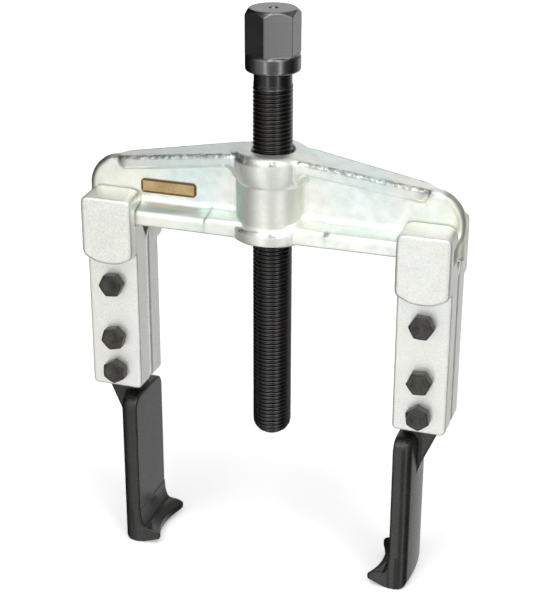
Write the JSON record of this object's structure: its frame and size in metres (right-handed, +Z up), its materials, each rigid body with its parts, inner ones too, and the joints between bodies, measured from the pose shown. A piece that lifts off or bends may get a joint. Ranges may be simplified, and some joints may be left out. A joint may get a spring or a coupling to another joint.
{
  "type": "gear puller",
  "caption": "Two-arm gear and bearing puller: forged crossbeam, sliding legs with slim claw hooks, and a central forcing screw with a hexagon head.",
  "frame": {"origin": "on the spindle axis, in the plane of the undersides of the two hooks", "axes": "+Z up along the spindle towards its hexagon, +X along the crossbeam towards the right leg, -Y the side of the bolt heads"},
  "size_m": [0.1386, 0.03, 0.2114],
  "materials": {
    "forged_zinc": "zinc-plated forged steel, satin with a fine forged grain",
    "blasted_zinc": "zinc-plated cast steel with a blasted, fine-grained surface",
    "black_oxide_thread": "black oxide on rolled thread, semi-gloss",
    "black_oxide_forging": "black oxide on a forging, satin",
    "black_oxide_fastener": "black oxide hexagon fasteners, satin",
    "ground_steel": "hardened and ground steel"
  },
  "bodies": {
    "crossbeam": {"crossbeam": "forged_zinc"},
    "thrust_ball": {"thrust_ball": "ground_steel"},
    "spindle": {"spindle": "black_oxide_thread"},
    "left_leg": {"left_front_plate": "blasted_zinc", "left_back_plate": "blasted_zinc", "left_hook": "black_oxide_forging", "left_bolt_top": "black_oxide_fastener", "left_bolt_mid": "black_oxide_fastener", "left_bolt_low": "black_oxide_fastener", "left_nut_top": "black_oxide_fastener", "left_nut_mid": "black_oxide_fastener", "left_nut_low": "black_oxide_fastener"},
    "right_leg": {"right_front_plate": "blasted_zinc", "right_back_plate": "blasted_zinc", "right_hook": "black_oxide_forging", "right_bolt_top": "black_oxide_fastener", "right_bolt_mid": "black_oxide_fastener", "right_bolt_low": "black_oxide_fastener", "right_nut_top": "black_oxide_fastener", "right_nut_mid": "black_oxide_fastener", "right_nut_low": "black_oxide_fastener"}
  },
  "joints": [
    {"name": "spindle_feed", "type": "slide", "parent": "crossbeam", "child": "thrust_ball", "axis": [0, 0, 1], "range_m": [-0.027, 0.075]},
    {"name": "spindle_turn", "type": "hinge", "parent": "thrust_ball", "child": "spindle", "pos_m": [0, 0, 0.0546], "axis": [0, 0, 1], "range_deg": [-6485, 18005]},
    {"name": "left_leg_slide", "type": "slide", "parent": "crossbeam", "child": "left_leg", "axis": [1, 0, 0], "range_m": [-0.0016, 0.0255]},
    {"name": "right_leg_slide", "type": "slide", "parent": "crossbeam", "child": "right_leg", "axis": [-1, 0, 0], "range_m": [-0.0016, 0.0255]}
  ],
  "couplings": [
    {"joint": "spindle_turn", "follows": "spindle_feed", "rad_per_m": 4188.8}
  ]
}
